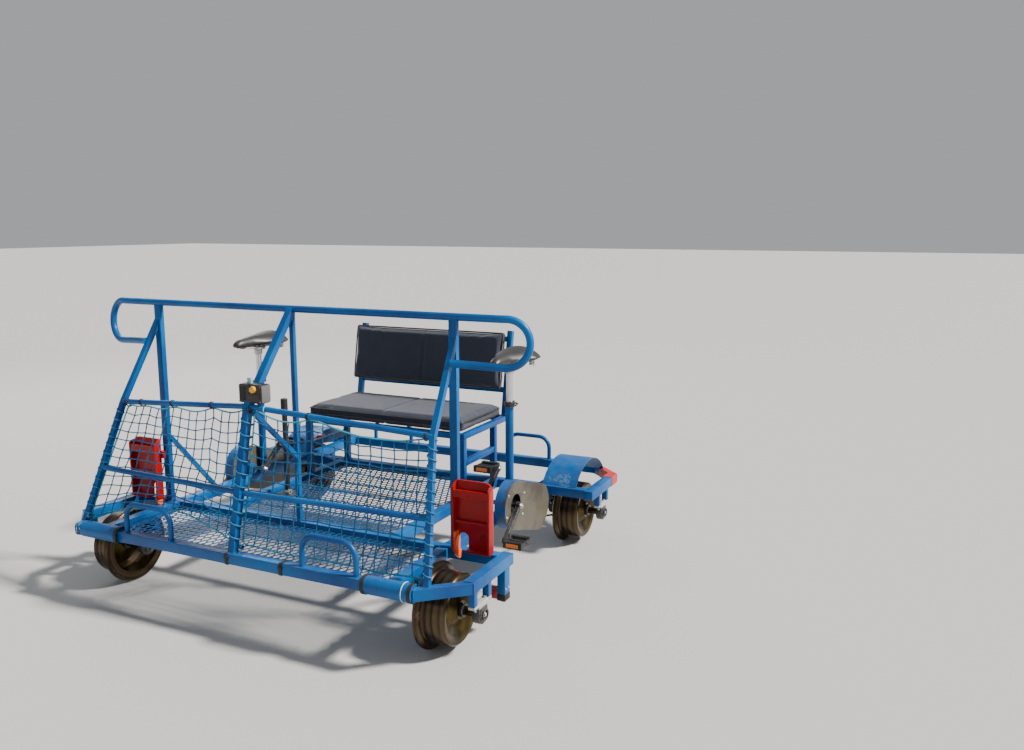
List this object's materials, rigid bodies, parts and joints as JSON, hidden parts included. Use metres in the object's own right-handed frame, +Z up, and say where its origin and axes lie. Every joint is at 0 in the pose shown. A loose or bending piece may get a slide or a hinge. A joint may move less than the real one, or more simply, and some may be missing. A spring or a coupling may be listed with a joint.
{
  "type": "railway handcar",
  "caption": "Pedal-driven railway handcar: blue tube frame on flanged rail wheels, with pedals, saddles, a bench and a netted front guard.",
  "frame": {"origin": "on the floor under the middle of the frame, level with the flanges' lowest point", "axes": "X to the right seen from the front, -Y forward in the direction of travel, +Z up"},
  "size_m": [1.9488, 1.7009, 1.1295],
  "materials": {
    "blue_paint": "worn gloss",
    "axle_black": "satin",
    "bearing_silver": "satin",
    "wheel_steel": "worn",
    "bright_steel": "satin",
    "chain_steel": "oily",
    "crank_steel": "satin",
    "black_plastic": "matte",
    "red_plastic": "gloss",
    "pedal_plastic": "matte",
    "black_leather": "satin",
    "bench_fabric": "matte",
    "net_cord": "matte"
  },
  "bodies": {
    "chassis": {"back_cushion": "bench_fabric", "beams": "blue_paint", "bearing_hangers": "blue_paint", "bench_cross_rails": "blue_paint", "bench_legs": "blue_paint", "bench_side_rails": "blue_paint", "bottom_brackets": "blue_paint", "braces": "blue_paint", "brake_lever": "black_plastic", "bumper_sleeves": "blue_paint", "chain_cases": "blue_paint", "chains": "chain_steel", "control_box": "black_plastic", "corner_rails": "blue_paint", "cross_beams": "blue_paint", "floor_rails": "blue_paint", "floors": "blue_paint", "grab_loops": "blue_paint", "guard_rails": "blue_paint", "guard_tubes": "blue_paint", "handlebar": "blue_paint", "inner_bearings": "axle_black", "long_rails": "blue_paint", "mudguards": "blue_paint", "net": "net_cord", "outer_bearings": "bearing_silver", "outer_rails": "blue_paint", "posts": "blue_paint", "rail_guard_blocks": "red_plastic", "rail_guard_legs": "axle_black", "saddle_posts": "bright_steel", "saddle_sleeves": "blue_paint", "saddles": "black_leather", "seat_cushion": "bench_fabric", "toe_guards": "red_plastic"},
    "wheel_front_left": {"wheel_front_left": "wheel_steel"},
    "wheel_front_right": {"wheel_front_right": "wheel_steel"},
    "wheel_rear_left": {"wheel_rear_left": "wheel_steel"},
    "wheel_rear_right": {"wheel_rear_right": "wheel_steel"},
    "crank_left": {"crank_left": "crank_steel"},
    "pedal_left_outer": {"pedal_left_outer": "pedal_plastic"},
    "pedal_left_inner": {"pedal_left_inner": "pedal_plastic"},
    "crank_right": {"crank_right": "crank_steel"},
    "pedal_right_outer": {"pedal_right_outer": "pedal_plastic"},
    "pedal_right_inner": {"pedal_right_inner": "pedal_plastic"}
  },
  "joints": [
    {"name": "wheel_front_left_spin", "type": "hinge", "parent": "chassis", "child": "wheel_front_left", "pos_m": [-0.755, -0.63, 0.15], "axis": [1, 0, 0], "continuous": true},
    {"name": "wheel_front_right_spin", "type": "hinge", "parent": "chassis", "child": "wheel_front_right", "pos_m": [0.755, -0.63, 0.15], "axis": [1, 0, 0], "continuous": true},
    {"name": "wheel_rear_left_spin", "type": "hinge", "parent": "chassis", "child": "wheel_rear_left", "pos_m": [-0.755, 0.56, 0.15], "axis": [1, 0, 0], "continuous": true},
    {"name": "wheel_rear_right_spin", "type": "hinge", "parent": "chassis", "child": "wheel_rear_right", "pos_m": [0.755, 0.56, 0.15], "axis": [1, 0, 0], "continuous": true},
    {"name": "crank_left_spin", "type": "hinge", "parent": "chassis", "child": "crank_left", "pos_m": [-0.64, 0, 0.32], "axis": [1, 0, 0], "continuous": true},
    {"name": "pedal_left_outer_spin", "type": "hinge", "parent": "crank_left", "child": "pedal_left_outer", "pos_m": [-0.773, -0.12913, 0.21729], "axis": [1, 0, 0], "continuous": true},
    {"name": "pedal_left_inner_spin", "type": "hinge", "parent": "crank_left", "child": "pedal_left_inner", "pos_m": [-0.513, 0.12913, 0.42272], "axis": [1, 0, 0], "continuous": true},
    {"name": "crank_right_spin", "type": "hinge", "parent": "chassis", "child": "crank_right", "pos_m": [0.64, 0, 0.32], "axis": [1, 0, 0], "continuous": true},
    {"name": "pedal_right_outer_spin", "type": "hinge", "parent": "crank_right", "child": "pedal_right_outer", "pos_m": [0.773, -0.12913, 0.21729], "axis": [1, 0, 0], "continuous": true},
    {"name": "pedal_right_inner_spin", "type": "hinge", "parent": "crank_right", "child": "pedal_right_inner", "pos_m": [0.513, 0.12913, 0.42272], "axis": [1, 0, 0], "continuous": true}
  ],
  "couplings": [
    {"joint": "crank_left_spin", "follows": "wheel_rear_left_spin", "ratio": 0.4375},
    {"joint": "crank_right_spin", "follows": "wheel_rear_right_spin", "ratio": 0.4375}
  ]
}
